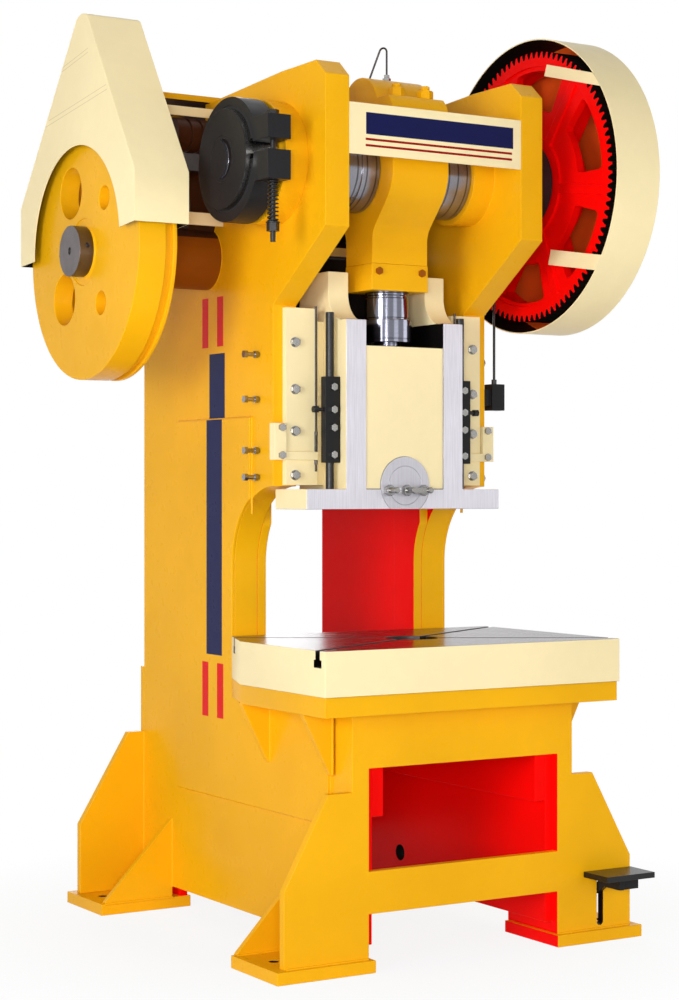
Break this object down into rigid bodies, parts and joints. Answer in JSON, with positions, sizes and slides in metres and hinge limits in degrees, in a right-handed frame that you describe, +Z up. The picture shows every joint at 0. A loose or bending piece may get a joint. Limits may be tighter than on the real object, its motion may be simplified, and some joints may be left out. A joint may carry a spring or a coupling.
{
  "type": "mechanical stamping press",
  "caption": "Open-front mechanical stamping press with a welded C frame, crank-driven slide, flywheel, geared crankshaft, band brake and foot pedal.",
  "frame": {"origin": "on the floor plane at the centre of the four foundation bolt holes", "axes": "+X to the right seen from the front, +Y to the rear, +Z up"},
  "size_m": [1.807, 1.757, 3.2619],
  "materials": {
    "enamel_yellow": "glossy enamel",
    "enamel_cream": "glossy enamel",
    "enamel_red": "glossy enamel",
    "enamel_black": "satin enamel",
    "steel_ground": "ground and oiled",
    "steel_dark": "dark turned steel",
    "fastener_steel": "plated",
    "iron_black": "black painted iron",
    "bearing_bronze": "machined bronze",
    "friction_lining": "woven friction lining"
  },
  "bodies": {
    "frame": {"back_web": "enamel_yellow", "bed_gussets": "enamel_yellow", "bed_plate": "enamel_yellow", "bed_rails": "enamel_red", "belt_guard": "enamel_cream", "bolster_plate": "enamel_cream", "brake_backing": "iron_black", "brake_band": "iron_black", "brake_bolt": "fastener_steel", "brake_lining": "friction_lining", "brake_spring": "fastener_steel", "cross_ribs": "enamel_yellow", "foot_pads": "enamel_yellow", "front_plate": "enamel_yellow", "gear_guard": "enamel_cream", "gear_guard_straps": "enamel_cream", "gib_adjusting_screws": "fastener_steel", "gib_bolts": "fastener_steel", "guard_brackets": "enamel_cream", "leg_feet_bars": "enamel_yellow", "leg_gussets": "enamel_yellow", "main_bushes": "bearing_bronze", "motor_deck": "enamel_yellow", "name_board": "enamel_cream", "pedal_pivot": "steel_dark", "rear_plate": "enamel_yellow", "side_plate_left": "enamel_yellow", "side_plate_right": "enamel_yellow", "slide_gibs": "enamel_cream", "stop_brackets": "enamel_cream", "stop_rods": "steel_dark", "throat_doublers": "enamel_yellow", "tie_tube": "enamel_yellow", "trip_block": "enamel_black", "trip_rod": "steel_dark"},
    "crank": {"crankshaft": "steel_ground", "brake_drum": "iron_black", "clutch_hub": "iron_black"},
    "rod": {"connecting_rod": "enamel_yellow", "rod_cap": "enamel_yellow", "cap_studs": "enamel_yellow", "crank_pin_bush": "bearing_bronze", "screw_clamp": "enamel_yellow", "clamp_bolts": "enamel_yellow", "ball_screw": "steel_ground", "grease_pipe": "fastener_steel", "grease_fitting": "fastener_steel"},
    "slide": {"slide": "steel_ground", "shank_clamp": "steel_ground", "shank_studs": "fastener_steel", "knockout_tubes": "enamel_black", "knockout_blocks": "enamel_black", "block_bolts": "fastener_steel"},
    "bull_gear": {"bull_gear": "enamel_red"},
    "back_shaft": {"back_shaft": "steel_dark", "pinion": "steel_dark", "flywheel": "enamel_yellow", "flywheel_hub": "steel_dark"},
    "pedal": {"pedal_plate": "enamel_black", "pedal_lever": "enamel_black"}
  },
  "joints": [
    {"name": "crank_turn", "type": "hinge", "parent": "frame", "child": "crank", "pos_m": [0, -0.3, 2.715], "axis": [-1, 0, 0], "range_deg": [0, 180]},
    {"name": "rod_pivot", "type": "hinge", "parent": "crank", "child": "rod", "pos_m": [0, -0.3, 2.775], "axis": [-1, 0, 0], "range_deg": [-180, 0]},
    {"name": "ram_slide", "type": "slide", "parent": "frame", "child": "slide", "axis": [0, 0, 1], "range_m": [-0.12, 0]},
    {"name": "bull_gear_spin", "type": "hinge", "parent": "frame", "child": "bull_gear", "pos_m": [0.69, -0.3, 2.715], "axis": [1, 0, 0], "continuous": true},
    {"name": "back_shaft_spin", "type": "hinge", "parent": "frame", "child": "back_shaft", "pos_m": [0.69, 0.21827, 2.432], "axis": [1, 0, 0], "continuous": true},
    {"name": "pedal_press", "type": "hinge", "parent": "frame", "child": "pedal", "pos_m": [0.5735, -0.56, 0.15], "axis": [1, 0, 0], "range_deg": [0, 8], "stiffness_Nm_per_rad": 250, "springref_deg": -20.05}
  ],
  "couplings": [
    {"joint": "rod_pivot", "follows": "crank_turn", "ratio": -1},
    {"joint": "ram_slide", "follows": "crank_turn", "m_per_rad": -0.038197},
    {"joint": "back_shaft_spin", "follows": "bull_gear_spin", "ratio": -4.9}
  ]
}
